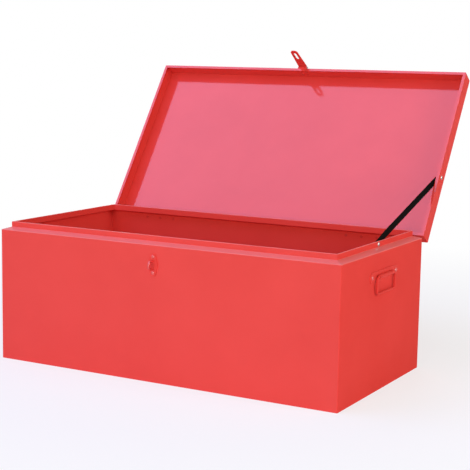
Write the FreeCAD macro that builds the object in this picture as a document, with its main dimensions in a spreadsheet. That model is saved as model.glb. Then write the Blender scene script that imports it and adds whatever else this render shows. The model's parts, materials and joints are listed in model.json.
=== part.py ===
# Sheet-steel storage chest: folded and welded box, folded lid on two butt hinges, hasp and staple for a
# padlock, a drop handle at each end and a riveted webbing stay that stops the lid. Millimetres, +Z up.
# The origin is the middle of the underside, the front faces -Y, and the lid is drawn open on its stay.
import FreeCAD
import Part

import math
import os
import types

import Sketcher

SIZES = {
    "box_width": 1000,
    "box_depth": 520,
    "wall_height": 353,
    "sheet_gauge": 1.5,
    "bend_radius": 2.5,
    "ledge_width": 20,
    "ledge_fall": 6.5,
    "rise_height": 14.5,
    "hem_length": 16,
    "hem_gap": 1,
    "floor_flange": 20,
    "lid_depth": 43,
    "lid_lip": 8,
    "rim_gap": 4,
    "open_angle": 124,
    "hinge_inset": 175,
    "hinge_width": 120,
    "hinge_leaf": 26,
    "hinge_gauge": 2,
    "hinge_knuckle": 5,
    "hinge_pin": 2.5,
    "hinge_rivet_pitch": 46,
    "hinge_rivet_row": 13,
    "leaf_corner": 4,
    "running_fit": 0.05,
    "knuckle_play": 0.4,
    "knuckle_relief": 0.6,
    "pin_head_radius": 3.8,
    "pin_head_height": 1.5,
    "rivet_shank": 2.4,
    "rivet_fit": 0.1,
    "rivet_head_radius": 5,
    "rivet_head_height": 2.2,
    "rivet_tail_radius": 3.8,
    "rivet_tail_height": 1.5,
    "lock_offset": -15,
    "staple_level": 303,
    "staple_length": 58,
    "staple_width": 28,
    "staple_tip_width": 15,
    "staple_gauge": 2,
    "staple_rivet_pitch": 20.5,
    "eye_rod": 3,
    "eye_bend": 10,
    "eye_reach": 25,
    "hasp_width": 28,
    "hasp_tip_width": 21,
    "hasp_leaf": 34,
    "hasp_gauge": 2,
    "hasp_knuckle": 4.5,
    "hasp_pin": 2,
    "hasp_pin_rise": 4,
    "hasp_rivet_row": 14,
    "hasp_rivet_pitch": 12,
    "hasp_rivet_half_width": 7.5,
    "tongue_gauge": 2.5,
    "tongue_end": 11,
    "slot_play": 3,
    "handle_level": 294,
    "handle_standoff": 6.5,
    "handle_plate_length": 180,
    "handle_plate_height": 28,
    "handle_plate_gauge": 1.5,
    "handle_plate_corner": 13.5,
    "handle_rivet_pitch": 76,
    "saddle_length": 92,
    "bail_rod": 3,
    "bail_width": 114,
    "bail_drop": 42,
    "bail_bend": 9,
    "strap_width": 20,
    "strap_gauge": 2,
    "strap_tail": 12,
    "strap_low_place": 7,
    "strap_low_drop": 8,
    "strap_high_reach": 194,
    "strap_high_rise": 19,
    "strap_clearance": 1,
    "strap_rivet_head": 5.5,
    "strap_rivet_height": 3,
    "washer_radius": 7,
    "washer_gauge": 1.2,
    "eyelet_bore": 1.6,
}


class Size:
    """A number together with the sheet formula that gives it."""

    def __init__(self, value, text):
        self.value = value
        self.text = text

    def __float__(self):
        return float(self.value)

    def __add__(self, other):
        return Size(self.value + float(other), f"({self.text} + {formula(other)})")

    def __sub__(self, other):
        return Size(self.value - float(other), f"({self.text} - {formula(other)})")

    def __mul__(self, other):
        return Size(self.value * float(other), f"({self.text} * {formula(other)})")

    def __truediv__(self, other):
        return Size(self.value / float(other), f"({self.text} / {formula(other)})")

    def __neg__(self):
        return Size(-self.value, f"(0 - {self.text})")


def formula(value):
    if isinstance(value, Size):
        return value.text
    return repr(float(value))


def cosine(angle):
    return Size(math.cos(math.radians(angle.value)), f"cos({angle.text})")


def sine(angle):
    return Size(math.sin(math.radians(angle.value)), f"sin({angle.text})")


def arc_sine(ratio):
    return Size(math.degrees(math.asin(ratio.value)), f"(asin({ratio.text}) / 1 deg)")


def slope(rise, run):
    return Size(math.degrees(math.atan2(rise.value, run.value)), f"(atan({rise.text} / {run.text}) / 1 deg)")


def root(square):
    return Size(math.sqrt(square.value), f"sqrt({square.text})")


doc = FreeCAD.newDocument("storage_chest")
sheet = doc.addObject("Spreadsheet::Sheet", "Sizes")
for row, (word, number) in enumerate(SIZES.items(), start=1):
    sheet.set(f"A{row}", word)
    sheet.set(f"B{row}", str(number))
    sheet.setAlias(f"B{row}", word)
doc.recompute()
size = types.SimpleNamespace(**{word: Size(number, f"Sizes.{word}") for word, number in SIZES.items()})
none = Size(0.0, "0.0")
vector = FreeCAD.Vector


def bind(item, path, value):
    item.setExpression(path, formula(value))


def seat(item, base, turn=None, axis=None):
    """Places an object at a bound point, turned by a bound angle about an axis."""
    if turn is not None:
        item.Placement = FreeCAD.Placement(vector(0, 0, 0), FreeCAD.Rotation(vector(*axis), float(turn)))
        bind(item, "Placement.Rotation.Angle", turn)
    for letter, value in zip("xyz", base):
        bind(item, f"Placement.Base.{letter}", value)


def new_body(label):
    body = doc.addObject("PartDesign::Body", label)
    body.Label = label
    return body


def new_sketch(body, role, lift=None):
    sketch = body.newObject("Sketcher::SketchObject", "Sketch")
    planes = [item for item in body.Origin.OriginFeatures if item.Role == role]
    sketch.AttachmentSupport = [(planes[0], "")]
    sketch.MapMode = "FlatFace"
    if lift is not None:
        bind(sketch, "AttachmentOffset.Base.z", lift)
    return sketch


def hold(sketch, geometry, point, place):
    """Pins a sketch point at bound distances from the sketch origin."""
    for kind, value in zip(("DistanceX", "DistanceY"), place):
        if value is not None:
            rule = Sketcher.Constraint(kind, -1, 1, geometry, point, float(value))
            index = sketch.addConstraint(rule)
            bind(sketch, f"Constraints[{index}]", value)


def outline(sketch, corners):
    """Draws a closed outline through bound corners."""
    first = sketch.GeometryCount
    count = len(corners)
    points = [vector(float(across), float(up), 0) for across, up in corners]
    for index in range(count):
        sketch.addGeometry(Part.LineSegment(points[index], points[(index + 1) % count]), False)
    for index in range(count):
        following = first + (index + 1) % count
        sketch.addConstraint(Sketcher.Constraint("Coincident", first + index, 2, following, 1))
        hold(sketch, first + index, 1, corners[index])


def rectangle(sketch, left, low, right, high):
    outline(sketch, [(left, low), (right, low), (right, high), (left, high)])


def circles(sketch, radius, centres):
    for centre in centres:
        middle = vector(float(centre[0]), float(centre[1]), 0)
        geometry = sketch.addGeometry(Part.Circle(middle, vector(0, 0, 1), float(radius)), False)
        hold(sketch, geometry, 3, centre)
        index = sketch.addConstraint(Sketcher.Constraint("Radius", geometry, float(radius)))
        bind(sketch, f"Constraints[{index}]", radius)


def extrude(body, kind, sketch, length, both_ways=False, reverse=False):
    feature = body.newObject(kind, "Extrude")
    feature.Profile = sketch
    bind(feature, "Length", length)
    if both_ways:
        feature.SideType = "Symmetric"
    feature.Reversed = reverse
    sketch.Visibility = False
    doc.recompute()
    return feature


def pad(body, sketch, length, both_ways=False, reverse=False):
    return extrude(body, "PartDesign::Pad", sketch, length, both_ways, reverse)


def pocket(body, sketch, length, both_ways=False, reverse=False):
    return extrude(body, "PartDesign::Pocket", sketch, length, both_ways, reverse)


def bend_edges(body, axis, corners, radius):
    """Rounds the edges that run along one axis through the given corners."""
    base = body.Tip
    others = [index for index in range(3) if index != axis]
    names = []
    for index, edge in enumerate(base.Shape.Edges, start=1):
        ends = [vertex.Point for vertex in edge.Vertexes]
        for corner in corners:
            gaps = [abs(end[place] - float(want)) for end in ends for place, want in zip(others, corner)]
            if len(ends) == 2 and max(gaps) < 1e-4:
                names.append(f"Edge{index}")
    feature = body.newObject("PartDesign::Fillet", "Bend")
    feature.Base = (base, names)
    bind(feature, "Radius", radius)
    doc.recompute()


half_width = size.box_width / 2
half_depth = size.box_depth / 2
hinge_y = half_depth + size.hinge_knuckle
hinge_z = size.wall_height + size.rim_gap / 2
rim = size.rim_gap / 2
swing = size.open_angle
front_reach = size.hinge_knuckle + size.box_depth


def lid_point(across, along, above):
    """World place of a point that is given from the hinge line with the lid shut."""
    forward = along * cosine(swing) + above * sine(swing)
    upward = above * cosine(swing) - along * sine(swing)
    return (across, forward + hinge_y, upward + hinge_z)


def seat_on_lid(item, across=none, along=none, above=none):
    seat(item, lid_point(across, along, above), swing, (-1, 0, 0))


# Box: four folded walls mitred at the corners and a floor pan welded inside them
rivet_hole = size.rivet_shank + size.rivet_fit
hem_inside = size.ledge_width + size.sheet_gauge * 2 + size.hem_gap
rim_top = size.wall_height + size.ledge_fall + size.rise_height


def mitre_cut(sketch, run, hand):
    """Draws the waste beyond one mitre, with the rounded outer corner of the wall."""
    radius = size.bend_radius
    end = run / 2
    depth = hem_inside * 2
    spot = math.sqrt(0.5)
    middle = (end - radius, radius)
    meet = (end - radius + radius * spot, radius - radius * spot)
    outside = [(end - depth, depth), (end + radius, depth), (end + radius, -radius), (end - radius, -radius)]
    places = [meet, *outside]
    centre = vector(hand * float(middle[0]), float(middle[1]), 0)
    span = (-90, -45) if hand > 0 else (-135, -90)
    ring = Part.Circle(centre, vector(0, 0, 1), float(radius))
    arc = sketch.addGeometry(Part.ArcOfCircle(ring, *[math.radians(turn) for turn in span]), False)
    flat_end, mitre_end = (1, 2) if hand > 0 else (2, 1)
    hold(sketch, arc, 3, (middle[0] * hand, middle[1]))
    index = sketch.addConstraint(Sketcher.Constraint("Radius", arc, float(radius)))
    bind(sketch, f"Constraints[{index}]", radius)
    hold(sketch, arc, mitre_end, (meet[0] * hand, None))
    hold(sketch, arc, flat_end, (middle[0] * hand, None))
    points = [vector(hand * float(across), float(inward), 0) for across, inward in places]
    points.append(vector(centre.x, 0, 0))
    lines = [sketch.addGeometry(Part.LineSegment(*pair), False) for pair in zip(points, points[1:])]
    sketch.addConstraint(Sketcher.Constraint("Coincident", lines[0], 1, arc, mitre_end))
    sketch.addConstraint(Sketcher.Constraint("Coincident", lines[-1], 2, arc, flat_end))
    for index, line in enumerate(lines[1:], start=1):
        sketch.addConstraint(Sketcher.Constraint("Coincident", lines[index - 1], 2, line, 1))
        hold(sketch, line, 1, (places[index][0] * hand, places[index][1]))


def wall(label, run, base, turn, holes):
    """Wall folded in to a sloping ledge, up to a rise and down in a hem, drawn from its outer face inward."""
    gauge = size.sheet_gauge
    ledge = size.ledge_width
    level = size.wall_height
    hem_low = rim_top - size.hem_length
    rise_inside = ledge + gauge
    hem_outside = rise_inside + size.hem_gap
    grade = size.ledge_fall / ledge
    ledge_foot = level + size.ledge_fall
    underside = level - gauge / cosine(slope(size.ledge_fall, ledge))
    low_inside = underside + grade * gauge
    high_inside = underside + grade * rise_inside
    body = new_body(label)
    profile = new_sketch(body, "YZ_Plane")
    outline(
        profile,
        [
            (none, none),
            (none, level),
            (ledge, ledge_foot),
            (ledge, rim_top),
            (hem_inside, rim_top),
            (hem_inside, hem_low),
            (hem_outside, hem_low),
            (hem_outside, rim_top - gauge),
            (rise_inside, rim_top - gauge),
            (rise_inside, high_inside),
            (gauge, low_inside),
            (gauge, none),
        ],
    )
    pad(body, profile, run, both_ways=True)
    bend_edges(body, 0, [(none, level), (rise_inside, high_inside)], size.bend_radius)
    bend_edges(body, 0, [(ledge, ledge_foot), (gauge, low_inside)], size.bend_radius - gauge)
    bend_edges(body, 0, [(ledge, rim_top), (hem_inside, rim_top)], gauge)
    plan = new_sketch(body, "XY_Plane")
    mitre_cut(plan, run, 1)
    mitre_cut(plan, run, -1)
    pocket(body, plan, rim_top * 4, both_ways=True)
    drilled = new_sketch(body, "XZ_Plane")
    circles(drilled, rivet_hole, holes)
    pocket(body, drilled, hem_inside * 4, both_ways=True)
    seat(body, base, turn, (0, 0, 1))


hinge_middle = half_width - size.hinge_inset
hinge_places = [-hinge_middle, hinge_middle]
hinge_steps = [-size.hinge_rivet_pitch, none, size.hinge_rivet_pitch]
hinge_rivet_level = hinge_z - size.hinge_rivet_row
staple_steps = [-size.staple_rivet_pitch, size.staple_rivet_pitch]
handle_steps = [-size.handle_rivet_pitch, size.handle_rivet_pitch]
strap_low_level = rim_top - size.strap_low_drop
back_holes = [(place + step, hinge_rivet_level) for place in hinge_places for step in hinge_steps]
front_holes = [(size.lock_offset, step + size.staple_level) for step in staple_steps]
handle_holes = [(step, size.handle_level) for step in handle_steps]
strap_hole = (size.strap_low_place, strap_low_level)
wall("front_panel", size.box_width, (none, -half_depth, none), none, front_holes)
wall("right_panel", size.box_depth, (half_width, none, none), Size(90, "90"), [*handle_holes, strap_hole])
wall("back_panel", size.box_width, (none, half_depth, none), Size(180, "180"), back_holes)
wall("left_panel", size.box_depth, (-half_width, none, none), Size(270, "270"), handle_holes)

floor_x = half_width - size.sheet_gauge
floor_y = half_depth - size.sheet_gauge
floor_pan = new_body("floor_pan")
floor_outline = new_sketch(floor_pan, "XY_Plane")
rectangle(floor_outline, -floor_x, -floor_y, floor_x, floor_y)
pad(floor_pan, floor_outline, size.floor_flange)
floor_hollow = new_sketch(floor_pan, "XY_Plane", size.floor_flange)
inner_x = floor_x - size.sheet_gauge
inner_y = floor_y - size.sheet_gauge
rectangle(floor_hollow, -inner_x, -inner_y, inner_x, inner_y)
pocket(floor_pan, floor_hollow, size.floor_flange - size.sheet_gauge)
bend_edges(floor_pan, 0, [(floor_y, none), (-floor_y, none)], size.bend_radius)
bend_edges(floor_pan, 1, [(floor_x, none), (-floor_x, none)], size.bend_radius)

# Lid: a folded pan with a narrow return lip, drawn shut from the hinge line and swung open
lid_pan = new_body("lid_pan")
lid_back = -size.hinge_knuckle
lid_front = -front_reach
lid_top = rim + size.lid_depth
lid_outline = new_sketch(lid_pan, "XY_Plane", rim)
rectangle(lid_outline, -half_width, lid_front, half_width, lid_back)
pad(lid_pan, lid_outline, size.lid_depth)
lid_corners = [(across, along) for across in (-half_width, half_width) for along in (lid_front, lid_back)]
bend_edges(lid_pan, 2, lid_corners, size.bend_radius)
lid_edges = lid_pan.Tip.Shape.Edges
top_edges = []
for number, edge in enumerate(lid_edges, start=1):
    if all(abs(vertex.Z - float(lid_top)) < 1e-4 for vertex in edge.Vertexes):
        top_edges.append(f"Edge{number}")
lid_bend = lid_pan.newObject("PartDesign::Fillet", "Bend")
lid_bend.Base = (lid_bend.BaseFeature, top_edges)
bind(lid_bend, "Radius", size.bend_radius)
doc.recompute()
lid_mouth = new_sketch(lid_pan, "XY_Plane", rim)
lip = size.lid_lip
rectangle(lid_mouth, lip - half_width, lip + lid_front, half_width - lip, lid_back - lip)
pocket(lid_pan, lid_mouth, size.sheet_gauge, reverse=True)
lid_hollow = new_sketch(lid_pan, "XY_Plane", rim + size.sheet_gauge)
skin = size.sheet_gauge
rectangle(lid_hollow, skin - half_width, skin + lid_front, half_width - skin, lid_back - skin)
pocket(lid_pan, lid_hollow, size.lid_depth - skin * 2, reverse=True)
hasp_pin_y = lid_front - size.hasp_knuckle
hasp_pin_z = rim + size.hasp_pin_rise
hasp_rows = [hasp_pin_z + size.hasp_rivet_row, hasp_pin_z + size.hasp_rivet_row + size.hasp_rivet_pitch]
hasp_columns = [size.lock_offset - size.hasp_rivet_half_width, size.lock_offset + size.hasp_rivet_half_width]
hasp_holes = [(column, level) for column in hasp_columns for level in hasp_rows]
lid_front_holes = new_sketch(lid_pan, "XZ_Plane", front_reach + skin)
circles(lid_front_holes, rivet_hole, hasp_holes)
pocket(lid_pan, lid_front_holes, skin * 3)
lid_hinge_holes = [(place + step, size.hinge_rivet_row) for place in hinge_places for step in hinge_steps]
lid_back_holes = new_sketch(lid_pan, "XZ_Plane", size.hinge_knuckle - skin)
circles(lid_back_holes, rivet_hole, lid_hinge_holes)
pocket(lid_pan, lid_back_holes, skin * 3, reverse=True)
strap_high_level = rim + size.strap_high_rise
lid_strap_hole = new_sketch(lid_pan, "YZ_Plane", half_width + skin)
circles(lid_strap_hole, rivet_hole, [(-size.strap_high_reach, strap_high_level)])
pocket(lid_pan, lid_strap_hole, skin * 3)
seat_on_lid(lid_pan)


# Leaves with rolled knuckles, drawn from the pin line
def leaf(label, width, length, gauge, knuckle, bore, face, way, gaps, holes):
    """A leaf lying on the wall at one side of its pin, relieved where the other leaf's knuckles turn."""
    body = new_body(label)
    plate = new_sketch(body, "YZ_Plane")
    rectangle(plate, knuckle * face, none, (knuckle - gauge) * face, length * way)
    pad(body, plate, width, both_ways=True)
    ends = [(-width / 2, length * way), (width / 2, length * way)]
    bend_edges(body, 1, ends, size.leaf_corner)
    roll = new_sketch(body, "YZ_Plane")
    circles(roll, knuckle, [(none, none)])
    pad(body, roll, width, both_ways=True)
    eye = new_sketch(body, "YZ_Plane")
    circles(eye, bore, [(none, none)])
    pocket(body, eye, width * 2, both_ways=True)
    relief = knuckle + size.knuckle_relief
    cut = new_sketch(body, "XZ_Plane")
    for start, stop in gaps:
        rectangle(cut, start, -relief, stop, relief)
    pocket(body, cut, knuckle * 4, both_ways=True)
    drilled = new_sketch(body, "XZ_Plane")
    circles(drilled, rivet_hole, holes)
    pocket(body, drilled, knuckle * 4, both_ways=True)
    return body


hinge_bore = size.hinge_pin + size.running_fit
step = size.hinge_width / 10
play = size.knuckle_play / 2
body_gaps = [(step * -3 - play, step * -1 + play), (step * 1 - play, step * 3 + play)]
lid_gaps = [
    (step * -6, step * -3 + play),
    (step * -1 - play, step * 1 + play),
    (step * 3 - play, step * 6),
]
hinge_sizes = (size.hinge_width, size.hinge_leaf, size.hinge_gauge, size.hinge_knuckle, hinge_bore)
for side, place in zip(("left", "right"), hinge_places):
    low_holes = [(spot, -size.hinge_rivet_row) for spot in hinge_steps]
    high_holes = [(spot, size.hinge_rivet_row) for spot in hinge_steps]
    body_leaf = leaf(f"hinge_body_leaf_{side}", *hinge_sizes, -1, -1, body_gaps, low_holes)
    seat(body_leaf, (place, hinge_y, hinge_z))
    lid_leaf = leaf(f"hinge_lid_leaf_{side}", *hinge_sizes, -1, 1, lid_gaps, high_holes)
    seat_on_lid(lid_leaf, place)


# Round bar, pins and rivets
def rod(base, way, length, radius):
    """A round bar from a bound point along a fixed direction."""
    item = doc.addObject("Part::Cylinder", "Rod")
    item.Placement = FreeCAD.Placement(vector(0, 0, 0), FreeCAD.Rotation(vector(0, 0, 1), vector(*way)))
    seat(item, base)
    bind(item, "Radius", radius)
    bind(item, "Height", length)
    return item


def bend(centre, across, up, turn, bend_radius, radius):
    """Part of a ring that starts along one direction and turns toward another."""
    item = doc.addObject("Part::Torus", "RodBend")
    axis = vector(*across).cross(vector(*up))
    turned = FreeCAD.Rotation(vector(*across), vector(*up), axis, "XYZ")
    item.Placement = FreeCAD.Placement(vector(0, 0, 0), turned)
    item.Angle3 = turn
    seat(item, centre)
    bind(item, "Radius1", bend_radius)
    bind(item, "Radius2", radius)
    return item


def joined(label, pieces):
    item = doc.addObject("Part::MultiFuse", label)
    item.Label = label
    item.Shapes = pieces
    item.Refine = True
    return item


def moved(base, way, distance):
    """A bound point shifted along one of the fixed directions."""
    return tuple(value if part == 0 else value + distance * part for value, part in zip(base, way))


def pin(label, length, radius):
    """A hinge pin along X from its middle, with a flat head on each end."""
    start = (-length / 2, none, none)
    stop = (length / 2, none, none)
    shank = rod(start, (1, 0, 0), length, radius)
    first = rod(start, (-1, 0, 0), size.pin_head_height, size.pin_head_radius)
    last = rod(stop, (1, 0, 0), size.pin_head_height, size.pin_head_radius)
    return joined(label, [shank, first, last])


def rivet(base, way, grip, head_radius, head_height):
    """A domed rivet: head on the near face, shank through the sheets, set tail on the far face."""
    ball = (head_radius * head_radius + head_height * head_height) / (head_height * 2)
    rise = ball - head_height
    dome = doc.addObject("Part::Sphere", "RivetHead")
    dome.Placement = FreeCAD.Placement(vector(0, 0, 0), FreeCAD.Rotation(vector(0, 0, 1), vector(*way)))
    seat(dome, moved(base, way, rise))
    bind(dome, "Radius", ball)
    bind(dome, "Angle2", -arc_sine(rise / ball))
    shank = rod(base, way, grip + size.rivet_tail_height / 2, size.rivet_shank)
    tail = rod(moved(base, way, grip), way, size.rivet_tail_height, size.rivet_tail_radius)
    return joined("Rivet", [dome, shank, tail])


def rivets(label, places, way, grip):
    group = doc.addObject("Part::Compound", label)
    group.Label = label
    head = (size.rivet_head_radius, size.rivet_head_height)
    group.Links = [rivet(place, way, grip, *head) for place in places]
    return group


for side, place in zip(("left", "right"), hinge_places):
    hinge_pin = pin(f"hinge_pin_{side}", size.hinge_width, size.hinge_pin)
    seat(hinge_pin, (place, hinge_y, hinge_z))
leaf_grip = size.hinge_gauge + size.sheet_gauge
leaf_face = half_depth + size.hinge_gauge
rivets("hinge_body_rivets", [(across, leaf_face, up) for across, up in back_holes], (0, -1, 0), leaf_grip)
lid_leaf_face = size.hinge_gauge - size.hinge_knuckle
lid_rivet_places = [(across, lid_leaf_face, up) for across, up in lid_hinge_holes]
lid_rivets = rivets("hinge_lid_rivets", lid_rivet_places, (0, -1, 0), leaf_grip)
seat_on_lid(lid_rivets)

# Staple: a plate that narrows to rounded ends, with a rod eye, riveted to the front wall
staple_plate = new_body("staple_plate")
staple_half = size.staple_width / 2
staple_end = size.staple_length / 2
staple_tip = size.staple_tip_width / 2
staple_low = [(-staple_tip, -staple_end), (staple_tip, -staple_end)]
staple_high = [(staple_tip, staple_end), (-staple_tip, staple_end)]
staple_sides = [(staple_half, none), (-staple_half, none)]
staple_outline = new_sketch(staple_plate, "XZ_Plane")
outline(staple_outline, [*staple_low, staple_sides[0], *staple_high, staple_sides[1]])
pad(staple_plate, staple_outline, size.staple_gauge)
bend_edges(staple_plate, 1, staple_low + staple_high, staple_tip - size.running_fit)
bend_edges(staple_plate, 1, staple_sides, staple_half)
staple_drilled = new_sketch(staple_plate, "XZ_Plane")
circles(staple_drilled, rivet_hole, [(none, spot) for spot in staple_steps])
eye_legs = [(none, -size.eye_bend), (none, size.eye_bend)]
circles(staple_drilled, size.eye_rod, eye_legs)
pocket(staple_plate, staple_drilled, size.staple_gauge * 4, both_ways=True)
staple_base = (size.lock_offset, -half_depth, size.staple_level)
seat(staple_plate, staple_base)
eye_run = size.eye_reach - size.eye_bend - size.eye_rod
eye_pieces = [bend((none, -eye_run, none), (0, 0, 1), (0, -1, 0), 180, size.eye_bend, size.eye_rod)]
for leg in eye_legs:
    eye_pieces.append(rod((none, none, leg[1]), (0, -1, 0), eye_run, size.eye_rod))
staple_eye = joined("staple_eye", eye_pieces)
seat(staple_eye, staple_base)
staple_face = -half_depth - size.staple_gauge
staple_grip = size.staple_gauge + size.sheet_gauge
rivets("staple_rivets", [(across, staple_face, up) for across, up in front_holes], (0, 1, 0), staple_grip)

# Hasp: a leaf on the lid's front skirt and a slotted tongue that drops over the staple
hasp_bore = size.hasp_pin + size.running_fit
hasp_half = size.hasp_width / 2
hasp_split = size.hasp_width / 4
leaf_gaps = [(-hasp_split - play, hasp_split + play)]
leaf_holes = [(across - size.lock_offset, up - hasp_pin_z) for across, up in hasp_holes]
hasp_sizes = (size.hasp_width, size.hasp_leaf, size.hasp_gauge, size.hasp_knuckle, hasp_bore)
hasp_leaf = leaf("hasp_leaf", *hasp_sizes, 1, 1, leaf_gaps, leaf_holes)
hasp_pin_place = (size.lock_offset, hasp_pin_y, hasp_pin_z)
seat_on_lid(hasp_leaf, *hasp_pin_place)
hasp_pin = pin("hasp_pin", size.hasp_width, size.hasp_pin)
seat_on_lid(hasp_pin, *hasp_pin_place)
hasp_face = lid_front - size.hasp_gauge
hasp_grip = size.hasp_gauge + size.sheet_gauge
hasp_rivets = rivets("hasp_rivets", [(a, hasp_face, u) for a, u in hasp_holes], (0, 1, 0), hasp_grip)
seat_on_lid(hasp_rivets)
slot_middle = size.staple_level - hinge_z - hasp_pin_z
slot_radius = size.eye_rod + size.slot_play / 2
slot_run = size.eye_bend + size.eye_rod + size.slot_play - slot_radius
tip_level = slot_middle - slot_run - slot_radius - size.tongue_end
tip_half = size.hasp_tip_width / 2
tongue_inside = size.hasp_knuckle - size.tongue_gauge
hasp_tongue = new_body("hasp_tongue")
tongue_outline = new_sketch(hasp_tongue, "XZ_Plane", tongue_inside)
tongue_corners = [(-hasp_half, none), (hasp_half, none), (tip_half, tip_level), (-tip_half, tip_level)]
outline(tongue_outline, tongue_corners)
pad(hasp_tongue, tongue_outline, size.tongue_gauge)
bend_edges(hasp_tongue, 1, [(tip_half, tip_level), (-tip_half, tip_level)], tip_half - size.slot_play / 2)
tongue_roll = new_sketch(hasp_tongue, "YZ_Plane")
circles(tongue_roll, size.hasp_knuckle, [(none, none)])
pad(hasp_tongue, tongue_roll, (hasp_split - play) * 2, both_ways=True)
tongue_eye = new_sketch(hasp_tongue, "YZ_Plane")
circles(tongue_eye, hasp_bore, [(none, none)])
pocket(hasp_tongue, tongue_eye, size.hasp_width * 2, both_ways=True)
tongue_relief = size.hasp_knuckle + size.knuckle_relief
tongue_shoulders = new_sketch(hasp_tongue, "XZ_Plane")
rectangle(tongue_shoulders, -hasp_half, -tongue_relief, play - hasp_split, tongue_relief)
rectangle(tongue_shoulders, hasp_split - play, -tongue_relief, hasp_half, tongue_relief)
pocket(hasp_tongue, tongue_shoulders, size.hasp_knuckle * 4, both_ways=True)
slot_straight = new_sketch(hasp_tongue, "XZ_Plane")
rectangle(slot_straight, -slot_radius, slot_middle - slot_run, slot_radius, slot_middle + slot_run)
pocket(hasp_tongue, slot_straight, size.hasp_knuckle * 4, both_ways=True)
slot_ends = new_sketch(hasp_tongue, "XZ_Plane")
circles(slot_ends, slot_radius, [(none, slot_middle - slot_run), (none, slot_middle + slot_run)])
pocket(hasp_tongue, slot_ends, size.hasp_knuckle * 4, both_ways=True)
seat_on_lid(hasp_tongue, *hasp_pin_place)

# Drop handles: a plate with a pressed saddle, and a closed rod bail that turns in the saddle
saddle_bore = size.bail_rod + size.running_fit
saddle_radius = saddle_bore + size.handle_plate_gauge
handle_x = half_width + size.handle_standoff
half_turn = Size(180, "180")


def handle_plate(label):
    body = new_body(label)
    plate = new_sketch(body, "YZ_Plane", -size.handle_standoff)
    end = size.handle_plate_length / 2
    edge = size.handle_plate_height / 2
    rectangle(plate, -end, -edge, end, edge)
    pad(body, plate, size.handle_plate_gauge)
    plate_corners = [(along, up) for along in (-end, end) for up in (-edge, edge)]
    bend_edges(body, 0, plate_corners, size.handle_plate_corner)
    crown = new_sketch(body, "XZ_Plane")
    circles(crown, saddle_radius, [(none, none)])
    pad(body, crown, size.saddle_length, both_ways=True)
    sides = new_sketch(body, "XZ_Plane")
    rectangle(sides, -size.handle_standoff, -saddle_radius, none, saddle_radius)
    pad(body, sides, size.saddle_length, both_ways=True)
    channel = new_sketch(body, "XZ_Plane")
    circles(channel, saddle_bore, [(none, none)])
    pocket(body, channel, size.saddle_length, both_ways=True)
    channel_back = new_sketch(body, "XZ_Plane")
    rectangle(channel_back, -size.handle_standoff * 2, -saddle_bore, none, saddle_bore)
    pocket(body, channel_back, size.saddle_length, both_ways=True)
    drilled = new_sketch(body, "YZ_Plane")
    circles(drilled, rivet_hole, [(spot, none) for spot in handle_steps])
    pocket(body, drilled, size.handle_standoff * 4, both_ways=True)
    return body


def handle_bail(label):
    turn = size.bail_bend
    side = size.bail_width / 2
    inner = side - turn
    low = -size.bail_drop
    bar = size.bail_rod
    corners = [
        bend((none, inner, -turn), (0, 1, 0), (0, 0, 1), 90, turn, bar),
        bend((none, -inner, -turn), (0, 0, 1), (0, -1, 0), 90, turn, bar),
        bend((none, -inner, low + turn), (0, -1, 0), (0, 0, -1), 90, turn, bar),
        bend((none, inner, low + turn), (0, 0, -1), (0, 1, 0), 90, turn, bar),
    ]
    bars = [
        rod((none, -inner, none), (0, 1, 0), inner * 2, bar),
        rod((none, -inner, low), (0, 1, 0), inner * 2, bar),
        rod((none, side, low + turn), (0, 0, 1), size.bail_drop - turn * 2, bar),
        rod((none, -side, low + turn), (0, 0, 1), size.bail_drop - turn * 2, bar),
    ]
    return joined(label, corners + bars)


for side, hand, turn in (("right", 1, none), ("left", -1, half_turn)):
    handle_place = (handle_x * hand, none, size.handle_level)
    seat(handle_plate(f"handle_plate_{side}"), handle_place, turn, (0, 0, 1))
    seat(handle_bail(f"handle_bail_{side}"), handle_place, turn, (0, 0, 1))
    plate_face = (half_width + size.handle_plate_gauge) * hand
    handle_grip = size.handle_plate_gauge + size.sheet_gauge
    rivet_places = [(plate_face, along, up) for along, up in handle_holes]
    rivets(f"handle_rivets_{side}", rivet_places, (-hand, 0, 0), handle_grip)

# Lid stay: flat webbing held by a rivet and washer at each end, straight when the lid is open
high_place = lid_point(half_width, -size.strap_high_reach, strap_high_level)
strap_run = high_place[1] - size.strap_low_place
strap_rise = high_place[2] - strap_low_level
strap_length = root(strap_run * strap_run + strap_rise * strap_rise)
strap_angle = slope(strap_rise, strap_run)
hem_face = half_width - hem_inside
skirt_face = half_width - size.sheet_gauge
lip_face = half_width - size.lid_lip - size.strap_clearance
lift_off = size.strap_low_drop + size.strap_width * cosine(strap_angle) / 2
hem_end = lift_off / sine(strap_angle) + size.strap_gauge * 2
lip_end = strap_length - size.washer_radius - size.lid_lip - size.strap_clearance
skirt_end = strap_length - size.washer_radius - size.strap_clearance
path = [
    (hem_face, -size.strap_tail),
    (hem_face, hem_end),
    (lip_face, lip_end),
    (skirt_face, skirt_end),
    (skirt_face, strap_length + size.strap_tail),
]
inside_path = [(across - size.strap_gauge, along) for across, along in reversed(path)]
lid_strap = new_body("lid_strap")
strap_profile = new_sketch(lid_strap, "XY_Plane")
outline(strap_profile, path + inside_path)
pad(lid_strap, strap_profile, size.strap_width, both_ways=True)
strap_drilled = new_sketch(lid_strap, "YZ_Plane")
circles(strap_drilled, rivet_hole, [(none, none), (strap_length, none)])
pocket(lid_strap, strap_drilled, size.box_width * 2, both_ways=True)
seat(lid_strap, (none, size.strap_low_place, strap_low_level), strap_angle, (1, 0, 0))


def washer(label, base):
    """A flat washer under a rivet tail, facing along X."""
    item = doc.addObject("Part::Cut", label)
    item.Label = label
    item.Base = rod(base, (-1, 0, 0), size.washer_gauge, size.washer_radius)
    outside = moved(base, (1, 0, 0), size.washer_gauge)
    item.Tool = rod(outside, (-1, 0, 0), size.washer_gauge * 3, rivet_hole)
    return item


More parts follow.
